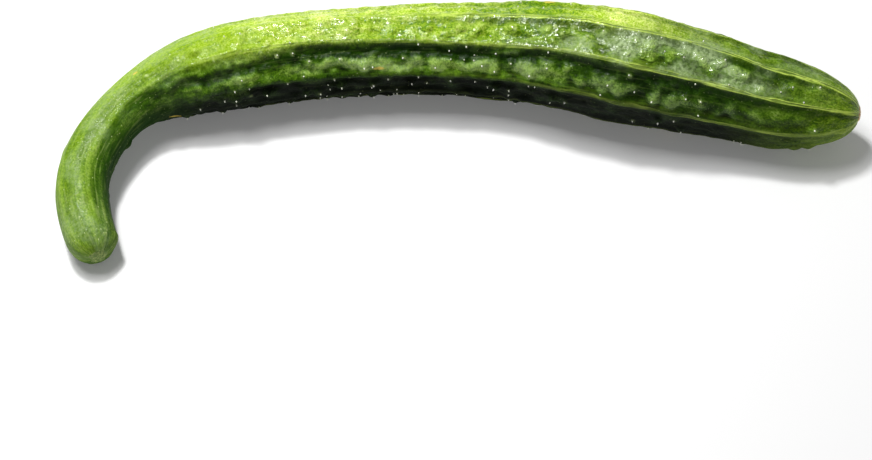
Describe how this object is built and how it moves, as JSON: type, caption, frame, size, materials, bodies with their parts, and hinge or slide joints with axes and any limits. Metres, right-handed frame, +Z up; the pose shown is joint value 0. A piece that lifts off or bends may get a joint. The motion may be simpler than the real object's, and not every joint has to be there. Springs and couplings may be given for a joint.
{
  "type": "cucumber",
  "caption": "Long ribbed cucumber with a thin hooked neck, warty skin and short spines, lying on its side.",
  "frame": {"origin": "on the table, under the middle of the cucumber's box, as it lies on its side", "axes": "+Z up; +X along the cucumber's length, towards the blossom end; +Y towards the outer side of its bend"},
  "size_m": [0.3044, 0.1114, 0.0449],
  "materials": {
    "skin": "waxy green skin of a fresh cucumber, a little wet: yellow green along the top and on the rib crests, dark green in the valleys and below, with fine pale streaks and speckles",
    "spine": "short whitish spines on the warts",
    "scar": "dry corky tan scars where the stem and the flower came off"
  },
  "bodies": {
    "root": {"cucumber": "skin"}
  },
  "joints": []
}
